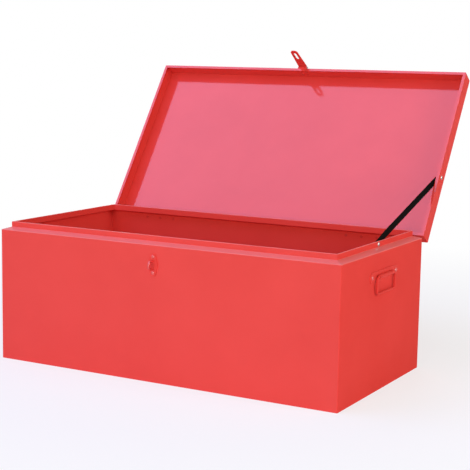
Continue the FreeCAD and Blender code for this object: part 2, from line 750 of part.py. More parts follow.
low_face = (half_width - size.ledge_width, size.strap_low_place, strap_low_level)
low_washer = (hem_face - size.strap_gauge, size.strap_low_place, strap_low_level)
stay_head = (size.strap_rivet_head, size.strap_rivet_height)
low_stack = hem_inside - size.ledge_width + size.strap_gauge + size.washer_gauge
low_rivet = rivet(low_face, (-1, 0, 0), low_stack, *stay_head)
low_rivet.Label = "strap_low_rivet"
washer("strap_low_washer", low_washer)
high_base = (half_width, -size.strap_high_reach, strap_high_level)
high_washer = (skirt_face - size.strap_gauge, -size.strap_high_reach, strap_high_level)
high_stack = size.sheet_gauge + size.strap_gauge + size.washer_gauge
high_solid = rivet(high_base, (-1, 0, 0), high_stack, *stay_head)
high_rivet = doc.addObject("Part::Cut", "strap_high_rivet")
high_rivet.Label = "strap_high_rivet"
high_rivet.Base = high_solid
high_head = moved(high_base, (1, 0, 0), size.strap_rivet_height)
high_rivet.Tool = rod(high_head, (-1, 0, 0), high_stack, size.eyelet_bore)
seat_on_lid(high_rivet)
seat_on_lid(washer("strap_high_washer", high_washer))

doc.recompute()
os.makedirs("parts", exist_ok=True)
used = {child for item in doc.Objects for child in item.OutList if item.isDerivedFrom("Part::Feature")}
inside = {child for item in doc.Objects if item.TypeId == "PartDesign::Body" for child in item.Group}
for item in doc.Objects:
    if "Invalid" in item.State or "Error" in item.State:
        raise RuntimeError(f"{item.Label} did not rebuild")
    if item.isDerivedFrom("Part::Feature") and item not in used and item not in inside:
        if item.Shape.isNull() or not item.Shape.isValid() or not item.Shape.Solids:
            raise RuntimeError(f"{item.Label} has no sound solid")
        item.Shape.exportStep(f"parts/{item.Label}.step")
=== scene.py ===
"""Red sheet-steel storage chest: the finish of every piece, the webbing lid stay and the studio."""

import json
import math

import bmesh
import bpy
from mathutils import Matrix, Vector


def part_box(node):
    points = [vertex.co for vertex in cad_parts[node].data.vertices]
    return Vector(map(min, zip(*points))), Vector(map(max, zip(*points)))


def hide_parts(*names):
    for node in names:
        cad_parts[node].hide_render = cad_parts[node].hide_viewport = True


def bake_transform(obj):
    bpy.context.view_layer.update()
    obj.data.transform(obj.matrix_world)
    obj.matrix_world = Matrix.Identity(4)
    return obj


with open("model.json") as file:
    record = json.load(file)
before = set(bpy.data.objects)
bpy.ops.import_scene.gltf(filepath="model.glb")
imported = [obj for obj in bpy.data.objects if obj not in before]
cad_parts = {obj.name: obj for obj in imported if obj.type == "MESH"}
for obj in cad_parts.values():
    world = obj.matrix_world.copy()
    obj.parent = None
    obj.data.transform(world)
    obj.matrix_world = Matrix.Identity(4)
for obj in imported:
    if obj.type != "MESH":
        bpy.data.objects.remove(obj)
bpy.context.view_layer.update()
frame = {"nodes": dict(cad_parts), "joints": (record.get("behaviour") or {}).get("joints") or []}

bl_info = {
    "name": "Steel storage chest",
    "version": (1, 0, 0),
    "blender": (4, 5, 0),
    "location": "View3D > Sidebar > Chest",
    "description": "Finishes a sheet-steel storage chest and builds its lid stay and studio",
    "category": "Object",
}

WALL_PIECES = ("front_panel", "back_panel", "left_panel", "right_panel", "floor_pan")
FITTING_PIECES = (
    "hinge_body_leaf_left",
    "hinge_body_leaf_right",
    "hinge_lid_leaf_left",
    "hinge_lid_leaf_right",
    "handle_plate_left",
    "handle_plate_right",
    "handle_bail_left",
    "handle_bail_right",
    "staple_plate",
    "hasp_leaf",
    "hasp_tongue",
)
RUBBED_PIECES = (
    "staple_eye",
    "staple_rivets",
    "hasp_rivets",
    "hinge_body_rivets",
    "hinge_lid_rivets",
    "handle_rivets_left",
    "handle_rivets_right",
)
STAY_RIVETS = ("strap_low_rivet", "strap_high_rivet")
PLATED_PIECES = (
    "strap_low_washer",
    "strap_high_washer",
    "hinge_pin_left",
    "hinge_pin_right",
    "hasp_pin",
)

# What every finish group puts out.
FINISH_OUTPUTS = (
    ("Color", "NodeSocketColor"),
    ("Roughness", "NodeSocketFloat"),
    ("Height", "NodeSocketFloat"),
)

UP = (0.0, 0.0, 1.0)
FORWARD = (0.0, -1.0, 0.0)
ALONG_CHEST = Vector((1.0, 0.0, 0.0))
CROSSWISE = (0.0, 1.0, 1.0)
WHITE = (1.0, 1.0, 1.0)

# Height of the enamel's orange peel against the sheet's waves, and of fibres against the weave.
PEEL_SHARE = 0.012
FIBRE_SHARE = 0.3

# Picks that the weave shifts from one rib to the next.
PICK_SHIFT = 0.5

# How much less rough the enamel is on fittings than on the folded sheet.
FITTING_SMOOTHER = 0.1

# The open end of a blind rivet's head, which is not in the shape: its radius, and the painted shade
# laid on the head where the hole's shade would fall.
HOLE_RADIUS = 0.0017
HOLE_PAINTED_SHADE = (0.05, 0.03, 0.03)

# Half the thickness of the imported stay, which the woven one lies in the middle of.
STAY_HALF_SOLID = 0.001

# The stay from a rivet: to its cut end, and to where it leaves the hem, the lip and the skirt.
STAY_TAIL = 0.0115
STAY_HEM_END = 0.058
STAY_LIP_END = 0.0165
STAY_SKIRT_END = 0.0082

# How far the stay stands in from the lid's skirt where it passes the lip.
STAY_LIP_STEP = 0.0075

# The stay's turns: the length of each leg, its largest share of the run beside it, and steps.
TURN_REACH = 0.006
TURN_SHARE = 0.45
TURN_STEPS = 6

# The webbing's cross-section: faces across it, and points round each edge in degrees.
FACES_ACROSS = 14
EDGE_TURNS = (60, 30, 0, -30, -60)
HALF_TURN = 180

# Each studio light: its setting, place, target, size and colour.
LIGHTS = (
    ("key", (0.5, -4.0, 1.15), (0.0, 0.0, 0.3), (2.4, 1.8), WHITE),
    ("top", (-1.47, -0.87, 2.9), (0.0, 0.45, 0.57), (3.0, 3.0), (0.85, 0.78, 1.62)),
    ("fill", (3.2, -0.3, 1.3), (0.4, 0.0, 0.25), (1.6, 1.6), WHITE),
    ("back", (-1.6, 3.8, 1.5), (0.0, 0.3, 0.4), (2.2, 1.8), WHITE),
)

# The studio floor: half its side, how far it lies below the chest, and its finish.
FLOOR_REACH = 30.0
FLOOR_DROP = 0.0002
FLOOR_TONE = (0.90, 0.90, 0.90)
FLOOR_ROUGHNESS = 0.9

# The rings between which the floor turns white, and how white it is inside the first.
WHITE_RINGS = (0.7, 2.4)
WHITE_NEAR = 0.68

# Side of the camera's square frame in millimetres.
FRAME_SIDE = 36.0


class ChestFinish(bpy.types.PropertyGroup):
    """Colours and gloss of the chest's finishes."""

    enamel: bpy.props.FloatVectorProperty(
        name="Enamel",
        description="Colour of the red stoving enamel",
        subtype="COLOR",
        size=3,
        min=0.0,
        max=1.0,
        default=(0.74, 0.054, 0.041),
    )
    # The lighter enamel of random patches and of convex bends; on the bends it is partly thin paint
    # and partly painted highlight.
    enamel_thin: bpy.props.FloatVectorProperty(
        name="Thin enamel",
        description="Colour of the enamel where it lies thinner",
        subtype="COLOR",
        size=3,
        min=0.0,
        max=1.0,
        default=(0.82, 0.069, 0.054),
    )
    # A darker copy of the enamel for the small rubbed fittings: painted shade, standing in for the
    # shade in their gaps.
    enamel_shaded: bpy.props.FloatVectorProperty(
        name="Thick enamel",
        description="Colour of the enamel where it gathers on small fittings",
        subtype="COLOR",
        size=3,
        min=0.0,
        max=1.0,
        default=(0.66, 0.046, 0.039),
    )
    # Pale pink laid on the faces that look up: a painted highlight for the overhead light on the
    # ledges and hems.
    painted_top_light: bpy.props.FloatVectorProperty(
        name="Bloom",
        description="Colour of the pale bloom on the faces that look up",
        subtype="COLOR",
        size=3,
        min=0.0,
        max=1.0,
        default=(0.92, 0.30, 0.262),
    )
    wall_roughness: bpy.props.FloatProperty(
        name="Wall roughness",
        description="Roughness of the enamel on the walls and the lid",
        subtype="FACTOR",
        default=0.34,
        min=0.0,
        max=1.0,
    )
    lid_roughness: bpy.props.FloatProperty(
        name="Lid roughness",
        description="Roughness of the clear gloss on the lid's inside",
        subtype="FACTOR",
        default=0.10,
        min=0.0,
        max=1.0,
    )
    # A warm, pinkish zinc: yellow passivation, and also a painted reflection of the red enamel
    # round the rivets.
    zinc: bpy.props.FloatVectorProperty(
        name="Zinc",
        description="Colour of the plated rivets and pins",
        subtype="COLOR",
        size=3,
        min=0.0,
        max=1.0,
        default=(0.46, 0.41, 0.39),
    )
    webbing: bpy.props.FloatVectorProperty(
        name="Webbing",
        description="Colour of the lid stay's yarn",
        subtype="COLOR",
        size=3,
        min=0.0,
        max=1.0,
        default=(0.0045, 0.0032, 0.0026),
    )


class ChestStay(bpy.types.PropertyGroup):
    """Sizes of the webbing lid stay."""

    width: bpy.props.FloatProperty(
        name="Width",
        description="Width of the webbing",
        default=0.0198,
        unit="LENGTH",
    )
    thickness: bpy.props.FloatProperty(
        name="Thickness",
        description="Thickness of the webbing",
        default=0.0018,
        unit="LENGTH",
    )
    rib: bpy.props.FloatProperty(
        name="Rib",
        description="Height of the woven ribs across the webbing",
        default=0.00012,
        unit="LENGTH",
    )
    pitch: bpy.props.FloatProperty(
        name="Pick pitch",
        description="Distance from one weft pick to the next",
        default=0.0016,
        unit="LENGTH",
    )


class ChestStudio(bpy.types.PropertyGroup):
    """Camera place and light levels."""

    azimuth: bpy.props.FloatProperty(
        name="Azimuth",
        description="Camera direction round the chest",
        default=math.radians(28.9976),
        subtype="ANGLE",
    )
    elevation: bpy.props.FloatProperty(
        name="Elevation",
        description="Camera direction above the horizon",
        default=math.radians(8.2926),
        subtype="ANGLE",
    )
    roll: bpy.props.FloatProperty(
        name="Roll",
        description="Camera turn about its own line of sight",
        default=math.radians(0.9882),
        subtype="ANGLE",
    )
    place: bpy.props.FloatVectorProperty(
        name="Place",
        description="Camera place",
        subtype="TRANSLATION",
        size=3,
        default=(1.664669, -2.870159, 0.833861),
    )
    lens: bpy.props.FloatProperty(
        name="Lens",
        description="Focal length on a 36 mm square frame",
        default=95.98,
        unit="CAMERA",
    )
    key: bpy.props.FloatProperty(
        name="Key",
        description="Power of the large front light",
        default=76.0,
        unit="POWER",
    )
    top: bpy.props.FloatProperty(
        name="Top",
        description="Power of the overhead light",
        default=50.0,
        unit="POWER",
    )
    fill: bpy.props.FloatProperty(
        name="Fill",
        description="Power of the light on the right-hand end",
        default=47.0,
        unit="POWER",
    )
    back: bpy.props.FloatProperty(
        name="Back",
        description="Power of the light behind the chest",
        default=45.0,
        unit="POWER",
    )
    sky: bpy.props.FloatProperty(
        name="Sky",
        description="Strength of the even light from all round",
        default=0.22,
    )


def add_node(tree, kind, **settings):
    """Adds a node and sets its properties and socket defaults by name."""
    node = tree.nodes.new(kind)
    for name, value in settings.items():
        if hasattr(node, name):
            setattr(node, name, value)
        else:
            node.inputs[name.replace("_", " ")].default_value = value
    return node


def set_sockets(shader, **values):
    """Sets plain numbers on a shader's own sockets by name."""
    for name, value in values.items():
        shader.inputs[name.replace("_", " ")].default_value = value


def new_group(name, inputs, outputs):
    """Starts a shader node group with the named sockets."""
    group = bpy.data.node_groups.new(name, "ShaderNodeTree")
    for label, kind, value in inputs:
        socket = group.interface.new_socket(label, in_out="INPUT", socket_type=kind)
        socket.default_value = value
    for label, kind in outputs:
        group.interface.new_socket(label, in_out="OUTPUT", socket_type=kind)
    return group, group.nodes.new("NodeGroupInput"), group.nodes.new("NodeGroupOutput")


def arithmetic(tree, operation, *values):
    """Joins sockets and numbers with a Math node."""
    node = add_node(tree, "ShaderNodeMath", operation=operation)
    for socket, value in zip(node.inputs, values):
        if isinstance(value, (int, float)):
            socket.default_value = value
        else:
            tree.links.new(value, socket)
    return node.outputs[0]


def enamel_group():
    """Sprayed and baked paint: faint mottling, orange peel, sheet waviness and hand marks, and
    convex bends painted lighter, partly thin paint and partly painted highlight.
    """
    existing = bpy.data.node_groups.get("Baked enamel")
    if existing:
        return existing
    group, entry, leave = new_group(
        "Baked enamel",
        [
            ("Paint", "NodeSocketColor", (0.7, 0.04, 0.03, 1.0)),
            ("Thin Paint", "NodeSocketColor", (0.8, 0.06, 0.05, 1.0)),
            ("Roughness", "NodeSocketFloat", 0.16),
            ("Waviness", "NodeSocketFloat", 1.0),
        ],
        FINISH_OUTPUTS,
    )
    links = group.links
    place = add_node(group, "ShaderNodeTexCoord")
    mottle = add_node(group, "ShaderNodeTexNoise", Scale=5.0, Detail=4.0, Roughness=0.55)
    peel = add_node(group, "ShaderNodeTexNoise", Scale=520.0, Detail=1.0, Roughness=0.4)
    wave = add_node(group, "ShaderNodeTexNoise", Scale=3.2, Detail=1.0, Roughness=0.3)
    marks = add_node(
        group, "ShaderNodeTexNoise", Scale=17.0, Detail=6.0, Roughness=0.62, Distortion=0.6
    )
    for noise in (mottle, peel, wave, marks):
        links.new(place.outputs["Object"], noise.inputs["Vector"])
    spread = add_node(group, "ShaderNodeMapRange", From_Min=0.35, From_Max=0.75, To_Max=0.55)
    links.new(mottle.outputs["Fac"], spread.inputs["Value"])
    # Convex bends turn to the thin paint: thinner enamel on the bends, and also a painted highlight
    # along the edges.
    shape = add_node(group, "ShaderNodeNewGeometry")
    bend_thin_and_highlight = add_node(group, "ShaderNodeMapRange", From_Min=0.50, From_Max=0.62, To_Max=0.25)
    links.new(shape.outputs["Pointiness"], bend_thin_and_highlight.inputs["Value"])
    thin = arithmetic(group, "ADD", spread.outputs["Result"], bend_thin_and_highlight.outputs["Result"])
    tint = add_node(group, "ShaderNodeMix", data_type="RGBA", clamp_factor=True)
    links.new(thin, tint.inputs["Factor"])
    links.new(entry.outputs["Paint"], tint.inputs["A"])
    links.new(entry.outputs["Thin Paint"], tint.inputs["B"])
    links.new(tint.outputs["Result"], leave.inputs["Color"])
    smear = add_node(group, "ShaderNodeMapRange", From_Min=0.45, From_Max=0.8, To_Max=0.12)
    links.new(marks.outputs["Fac"], smear.inputs["Value"])
    worn = arithmetic(group, "ADD", entry.outputs["Roughness"], smear.outputs["Result"])
    links.new(worn, leave.inputs["Roughness"])
    swell = arithmetic(group, "MULTIPLY", wave.outputs["Fac"], entry.outputs["Waviness"])
    skin = arithmetic(group, "MULTIPLY", peel.outputs["Fac"], PEEL_SHARE)
    links.new(arithmetic(group, "ADD", swell, skin), leave.inputs["Height"])
    return group


def side_group():
    """A mask of the faces that look one way, measured on the piece itself."""
    existing = bpy.data.node_groups.get("Side mask")
    if existing:
        return existing
    group, entry, leave = new_group(
        "Side mask",
        [
            ("Facing", "NodeSocketVector", UP),
            ("Edge", "NodeSocketFloat", 0.9),
            ("Full", "NodeSocketFloat", 0.8),
        ],
        [("Mask", "NodeSocketFloat")],
    )
    place = add_node(group, "ShaderNodeTexCoord")
    facing = add_node(group, "ShaderNodeVectorMath", operation="DOT_PRODUCT")
    group.links.new(place.outputs["Normal"], facing.inputs[0])
    group.links.new(entry.outputs["Facing"], facing.inputs[1])
    mask = add_node(group, "ShaderNodeMapRange", From_Max=0.97)
    group.links.new(facing.outputs["Value"], mask.inputs["Value"])
    group.links.new(entry.outputs["Edge"], mask.inputs["From Min"])
    group.links.new(entry.outputs["Full"], mask.inputs["To Max"])
    group.links.new(mask.outputs["Result"], leave.inputs["Mask"])
    return group


def side_mask(tree, facing, edge, full):
    """Places the side mask in a material and gives its output."""
    node = add_node(tree, "ShaderNodeGroup", node_tree=side_group())
    node.inputs["Facing"].default_value = facing
    node.inputs["Edge"].default_value = edge
    node.inputs["Full"].default_value = full
    return node.outputs["Mask"]


def polish_sides(material, shader, *sides):
    """Feeds a material's top coat from the sides of the piece that are polished."""
    tree = material.node_tree
    masks = [side_mask(tree, **side) for side in sides]
    gloss = masks[0]
    for mask in masks[1:]:
        gloss = arithmetic(tree, "MAXIMUM", gloss, mask)
    tree.links.new(gloss, shader.inputs["Coat Weight"])


def tint_where(material, shader, mask, colour):
    """Lays a colour over a material's own colour where a mask is."""
    links = material.node_tree.links
    tint = add_node(material.node_tree, "ShaderNodeMix", data_type="RGBA")
    links.new(mask, tint.inputs["Factor"])
    links.new(shader.inputs["Base Color"].links[0].from_socket, tint.inputs["A"])
    tint.inputs["B"].default_value = opaque(colour)
    links.new(tint.outputs["Result"], shader.inputs["Base Color"])


def painted_top_light_side(material, shader, colour, facing, edge, full):
    """Lays a pale painted highlight over a material's colour on the side that faces the overhead
    light.
    """
    tint_where(material, shader, side_mask(material.node_tree, facing, edge, full), colour)


def zinc_group():
    """Plated steel: small crystals, drawn marks and dull patches."""
    existing = bpy.data.node_groups.get("Zinc plate")
    if existing:
        return existing
    group, entry, leave = new_group(
        "Zinc plate",
        [
            ("Metal", "NodeSocketColor", (0.6, 0.6, 0.62, 1.0)),
            ("Roughness", "NodeSocketFloat", 0.3),
        ],
        FINISH_OUTPUTS,
    )
    links = group.links
    place = add_node(group, "ShaderNodeTexCoord")
    crystals = add_node(group, "ShaderNodeTexVoronoi", Scale=900.0)
    tarnish = add_node(group, "ShaderNodeTexNoise", Scale=260.0, Detail=4.0)
    for texture in (crystals, tarnish):
        links.new(place.outputs["Object"], texture.inputs["Vector"])
    bright = add_node(group, "ShaderNodeMapRange", To_Min=0.82, To_Max=1.08)
    links.new(crystals.outputs["Color"], bright.inputs["Value"])
    tint = add_node(group, "ShaderNodeMix", data_type="RGBA", blend_type="MULTIPLY", Factor=1.0)
    links.new(entry.outputs["Metal"], tint.inputs["A"])
    links.new(bright.outputs["Result"], tint.inputs["B"])
    links.new(tint.outputs["Result"], leave.inputs["Color"])
    dull = add_node(
        group, "ShaderNodeMapRange", From_Min=0.35, From_Max=0.7, To_Min=-0.06, To_Max=0.14
    )
    links.new(tarnish.outputs["Fac"], dull.inputs["Value"])
    worn = arithmetic(group, "ADD", entry.outputs["Roughness"], dull.outputs["Result"])
    links.new(worn, leave.inputs["Roughness"])
    links.new(tarnish.outputs["Fac"], leave.inputs["Height"])
    return group


def hole_group():
    """A mask of the mandrel hole in a blind rivet's head, round an axis along the chest."""
    existing = bpy.data.node_groups.get("Mandrel hole")
    if existing:
        return existing
    group, entry, leave = new_group(
        "Mandrel hole",
        [("Centre", "NodeSocketVector", (0.0, 0.0, 0.0)), ("Radius", "NodeSocketFloat", 0.0015)],
        [("Mask", "NodeSocketFloat")],
    )
    place = add_node(group, "ShaderNodeTexCoord")
    offset = add_node(group, "ShaderNodeVectorMath", operation="SUBTRACT")
    group.links.new(place.outputs["Object"], offset.inputs[0])
    group.links.new(entry.outputs["Centre"], offset.inputs[1])
    level = add_node(group, "ShaderNodeVectorMath", operation="MULTIPLY")
    level.inputs[1].default_value = CROSSWISE
    group.links.new(offset.outputs["Vector"], level.inputs[0])
    reach = add_node(group, "ShaderNodeVectorMath", operation="LENGTH")
    group.links.new(level.outputs["Vector"], reach.inputs[0])
    inside = arithmetic(group, "LESS_THAN", reach.outputs["Value"], entry.outputs["Radius"])
    group.links.new(inside, leave.inputs["Mask"])
    return group


def weave_group():
    """Plain woven webbing on the strap's own length and width: ribs, picks and loose fibres."""
    group, entry, leave = new_group(
        "Webbing weave",
        [
            ("Yarn", "NodeSocketColor", (0.01, 0.01, 0.01, 1.0)),
            ("Pitch", "NodeSocketFloat", 0.0016),
        ],
        FINISH_OUTPUTS,
    )
    links = group.links
    place = add_node(group, "ShaderNodeUVMap", uv_map="strap")
    parts = add_node(group, "ShaderNodeSeparateXYZ")
    links.new(place.outputs["UV"], parts.inputs["Vector"])
    across = arithmetic(group, "DIVIDE", parts.outputs["X"], entry.outputs["Pitch"])
    along = arithmetic(group, "DIVIDE", parts.outputs["Y"], entry.outputs["Pitch"])
    stagger = arithmetic(group, "MULTIPLY", arithmetic(group, "FLOOR", across), PICK_SHIFT)
    warp = arithmetic(group, "SINE", arithmetic(group, "MULTIPLY", across, math.pi))
    shifted = arithmetic(group, "ADD", along, stagger)
    weft = arithmetic(group, "SINE", arithmetic(group, "MULTIPLY", shifted, math.tau))
    warp_round = arithmetic(group, "ABSOLUTE", warp)
    float_up = arithmetic(group, "MULTIPLY_ADD", weft, 0.5, 0.5)
    height = arithmetic(group, "MULTIPLY", warp_round, float_up)
    fuzz = add_node(group, "ShaderNodeTexNoise", Scale=2600.0, Detail=3.0)
    links.new(place.outputs["UV"], fuzz.inputs["Vector"])
    # Painted shade and highlight: the yarn is darkened in the weave's low points and lightened on
    # its raised floats, from the weave's height.
    lift = add_node(group, "ShaderNodeMapRange", To_Min=0.55, To_Max=1.7)
    links.new(height, lift.inputs["Value"])
    tint = add_node(group, "ShaderNodeMix", data_type="RGBA", blend_type="MULTIPLY", Factor=1.0)
    links.new(entry.outputs["Yarn"], tint.inputs["A"])
    links.new(lift.outputs["Result"], tint.inputs["B"])
    links.new(tint.outputs["Result"], leave.inputs["Color"])
    nap = add_node(group, "ShaderNodeMapRange", From_Min=0.3, From_Max=0.7, To_Min=0.55, To_Max=0.8)
    links.new(fuzz.outputs["Fac"], nap.inputs["Value"])
    links.new(nap.outputs["Result"], leave.inputs["Roughness"])
    fibres = arithmetic(group, "MULTIPLY", fuzz.outputs["Fac"], FIBRE_SHARE)
    links.new(arithmetic(group, "ADD", height, fibres), leave.inputs["Height"])
    return group


def finish_material(name, group, values, bump, distance):
    """A Principled material fed by one finish group."""
    material = bpy.data.materials.new(name)
    material.use_nodes = True
    tree = material.node_tree
    shader = tree.nodes["Principled BSDF"]
    skin = add_node(tree, "ShaderNodeGroup", node_tree=group)
    for label, value in values.items():
        skin.inputs[label].default_value = value
    relief = add_node(tree, "ShaderNodeBump", Strength=bump, Distance=distance)
    tree.links.new(skin.outputs["Color"], shader.inputs["Base Color"])
    tree.links.new(skin.outputs["Roughness"], shader.inputs["Roughness"])
    tree.links.new(skin.outputs["Height"], relief.inputs["Height"])
    tree.links.new(relief.outputs["Normal"], shader.inputs["Normal"])
    return material, shader


def enamel_material(name, paint, thin_paint, roughness, waviness, bump, distance):
    """A baked enamel finish."""
    values = {
        "Paint": opaque(paint),
        "Thin Paint": opaque(thin_paint),
        "Roughness": roughness,
        "Waviness": waviness,
    }
    return finish_material(name, enamel_group(), values, bump, distance)


def zinc_material(name, metal):
    """A plated steel finish."""
    values = {"Metal": opaque(metal), "Roughness": 0.4}
    material, shader = finish_material(name, zinc_group(), values, bump=0.2, distance=0.0001)
    set_sockets(shader, Metallic=1.0)
    return material, shader


def dress(pieces, material):
    """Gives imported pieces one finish."""
    for name in pieces:
        obj = frame["nodes"][name]
        obj.data.materials.clear()
        obj.data.materials.append(material)


def opaque(colour):
    """A colour with the alpha that sockets ask for."""
    return (*colour, 1.0)


def middle_of(node):
    """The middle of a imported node's box."""
    low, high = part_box(node)
    return (Vector(low) + Vector(high)) / 2


def lid_angle():
    """How far the lid stands open at rest."""
    for joint in frame["joints"]:
        if joint["name"] == "lid_hinge":
            return math.radians(max(abs(limit) for limit in joint["range_deg"]))
    raise ValueError("the frame has no lid hinge")


class CHEST_OT_walls(bpy.types.Operator):
    """Paint the folded walls and the floor pan"""

    bl_idname = "chest.walls"
    bl_label = "Paint walls"

    def execute(self, context):
        look = context.scene.chest_finish
        material, shader = enamel_material(
            "wall_enamel",
            look.enamel,
            look.enamel_thin,
            look.wall_roughness,
            waviness=1.0,
            bump=0.35,
            distance=0.0012,
        )
        set_sockets(shader, Specular_IOR_Level=0.003, Coat_Roughness=0.12)
        polish_sides(
            material,
            shader,
            {"facing": UP, "edge": 0.1, "full": 0.7},
            {"facing": FORWARD, "edge": 0.9, "full": 0.42},
        )
        # Painted highlight: the faces that look up are painted paler, as if lit from overhead.
        painted_top_light_side(material, shader, look.painted_top_light, facing=UP, edge=0.05, full=0.5)
        dress(WALL_PIECES, material)
        return {"FINISHED"}


class CHEST_OT_lid(bpy.types.Operator):
    """Paint the lid pan with its glossier top coat"""

    bl_idname = "chest.lid"
    bl_label = "Paint lid"

    def execute(self, context):
        look = context.scene.chest_finish
        material, shader = enamel_material(
            "lid_enamel",
            look.enamel,
            look.enamel_thin,
            look.wall_roughness,
            waviness=0.6,
            bump=0.3,
            distance=0.0012,
        )
        angle = lid_angle()
        inward = (0.0, -math.sin(angle), -math.cos(angle))
        set_sockets(shader, Specular_IOR_Level=0.015, Coat_Roughness=look.lid_roughness)
        polish_sides(material, shader, {"facing": inward, "edge": 0.85, "full": 1.0})
        dress(("lid_pan",), material)
        return {"FINISHED"}


class CHEST_OT_fittings(bpy.types.Operator):
    """Paint the hinges, hasp, staple and handles"""

    bl_idname = "chest.fittings"
    bl_label = "Paint fittings"

    def execute(self, context):
        look = context.scene.chest_finish
        material, shader = enamel_material(
            "fitting_enamel",
            look.enamel,
            look.enamel_thin,
            look.wall_roughness - FITTING_SMOOTHER,
            waviness=0.0,
            bump=0.4,
            distance=0.0008,
        )
        set_sockets(shader, Specular_IOR_Level=0.01)
        dress(FITTING_PIECES, material)
        return {"FINISHED"}


class CHEST_OT_rubbed(bpy.types.Operator):
    """Paint the staple's eye and the round rivet heads, which rubbing keeps bright"""

    bl_idname = "chest.rubbed"
    bl_label = "Paint rubbed pieces"

    def execute(self, context):
        look = context.scene.chest_finish
        # The darker paint here is painted shade on the small fittings.
        material, shader = enamel_material(
            "rubbed_enamel",
            look.enamel_shaded,
            look.enamel,
            look.wall_roughness - FITTING_SMOOTHER,
            waviness=0.0,
            bump=0.4,
            distance=0.0008,
        )
        set_sockets(shader, Specular_IOR_Level=0.05)
        set_sockets(shader, Coat_Weight=1.0, Coat_Roughness=0.08, Coat_IOR=1.7)
        dress(RUBBED_PIECES, material)
        return {"FINISHED"}


class CHEST_OT_rivets(bpy.types.Operator):
    """Plate the rivets, washers and pins"""

    bl_idname = "chest.rivets"
    bl_label = "Plate rivets"

    def execute(self, context):
        look = context.scene.chest_finish
        material, shader = zinc_material("zinc_plate", look.zinc)
        dress(PLATED_PIECES, material)
        for name in STAY_RIVETS:
            material, shader = zinc_material(name + "_zinc", look.zinc)
            hole = add_node(material.node_tree, "ShaderNodeGroup", node_tree=hole_group())
            hole.inputs["Centre"].default_value = middle_of(name)
            hole.inputs["Radius"].default_value = HOLE_RADIUS
            # Painted shade: a dark disc on the head stands in for the shade inside the mandrel
            # hole.
            tint_where(material, shader, hole.outputs["Mask"], HOLE_PAINTED_SHADE)
            dress((name,), material)
        return {"FINISHED"}


def stay_path():
    """The low rivet's place, the way to the high one, how far that is, and the stay's stations.

    A station is how far the stay's middle line is across the chest and along that way.
    """
    low = middle_of("strap_low_washer")
    high = middle_of("strap_high_washer")
    line = Vector((0.0, high.y - low.y, high.z - low.z))
    length = line.length
    line.normalize()
    strap_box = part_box("lid_strap")
    hem = strap_box[0][0] + STAY_HALF_SOLID
    skirt = strap_box[1][0] - STAY_HALF_SOLID
    stations = [
        (hem, -STAY_TAIL),
        (hem, STAY_HEM_END),
        (skirt - STAY_LIP_STEP, length - STAY_LIP_END),
        (skirt, length - STAY_SKIRT_END),
        (skirt, length + STAY_TAIL),
    ]
    start = Vector((0.0, low.y, low.z))
    return start, line, length, stations


def rounded(stations):
    """Rounds the turns of a run of stations with short arcs."""
    points = [stations[0]]
    for before, here, after in zip(stations, stations[1:], stations[2:]):
        turn = Vector(here)
        first = Vector(before) - turn
        last = Vector(after) - turn
        first = turn + first.normalized() * min(TURN_REACH, first.length * TURN_SHARE)
        last = turn + last.normalized() * min(TURN_REACH, last.length * TURN_SHARE)
        for step in range(TURN_STEPS + 1):
            part = step / TURN_STEPS
            curve = first * (1 - part) ** 2 + turn * 2 * part * (1 - part) + last * part**2
            points.append((curve.x, curve.y))
    points.append(stations[-1])
    return points


def divided(run, step):
    """Divides a run of stations into short equal steps."""
    points = []
    for (across, along), (next_across, next_along) in zip(run, run[1:]):
        count = max(1, round((next_along - along) / step))
        for number in range(count):
            part = number / count
            there = across + (next_across - across) * part
            points.append((there, along + (next_along - along) * part))
    points.append(run[-1])
    return points


def round_edge(centre, radius, turned):
    """Points round one edge of the webbing, turned by whole degrees."""
    angles = [math.radians(turned + turn) for turn in EDGE_TURNS]
    return [(centre + radius * math.cos(angle), radius * math.sin(angle)) for angle in angles]


def webbing_outline(width, thickness):
    """The webbing's cross-section: two flat faces and two round edges."""
    half = width / 2
    thick = thickness / 2
    columns = []
    for column in range(FACES_ACROSS + 1):
        columns.append(-half + thick + (width - thickness) * column / FACES_ACROSS)
    outline = [(spread, thick) for spread in columns]
    outline += round_edge(half - thick, thick, 0)
    outline += [(spread, -thick) for spread in reversed(columns)]
    outline += round_edge(-half + thick, thick, HALF_TURN)
    return outline


def add_face(shape, layer, corners, smooth):
    """Adds a face from corners that hold a vertex and its place on the flat webbing."""
    face = shape.faces.new([vertex for vertex, place in corners])
    face.smooth = smooth
    for loop, (vertex, place) in zip(face.loops, corners):
        loop[layer].uv = place


def webbing_mesh(name, points, start, line, sizes):
    """The ribbed webbing along its points, with its flat length and width as UVs."""
    side = ALONG_CHEST.cross(line)
    half = sizes.width / 2
    rib = sizes.rib / (sizes.thickness / 2)
    outline = webbing_outline(sizes.width, sizes.thickness)
    shape = bmesh.new()
    layer = shape.loops.layers.uv.new("strap")
    rings = []
    for number, (across, along) in enumerate(points):
        behind = points[max(0, number - 1)]
        ahead = points[min(len(points) - 1, number + 1)]
        lean = Vector((ahead[0] - behind[0], ahead[1] - behind[1])).normalized()
        flat = ALONG_CHEST * lean.y - line * lean.x
        swell = 1.0 + rib * math.cos(number * math.pi)
        middle = start + line * along + ALONG_CHEST * across
        ring = []
        for spread, lift in outline:
            vertex = shape.verts.new(middle + side * spread + flat * lift * swell)
            ring.append((vertex, (spread + half, along)))
        rings.append(ring)
    for ring, following in zip(rings, rings[1:]):
        for index, corner in enumerate(ring):
            beside = (index + 1) % len(ring)
            corners = (corner, ring[beside], following[beside], following[index])
            add_face(shape, layer, corners, smooth=True)
    for ring in (rings[0][::-1], rings[-1]):
        add_face(shape, layer, ring, smooth=False)
    bmesh.ops.recalc_face_normals(shape, faces=shape.faces)
    mesh = bpy.data.meshes.new(name)
    shape.to_mesh(mesh)
    shape.free()
    return mesh


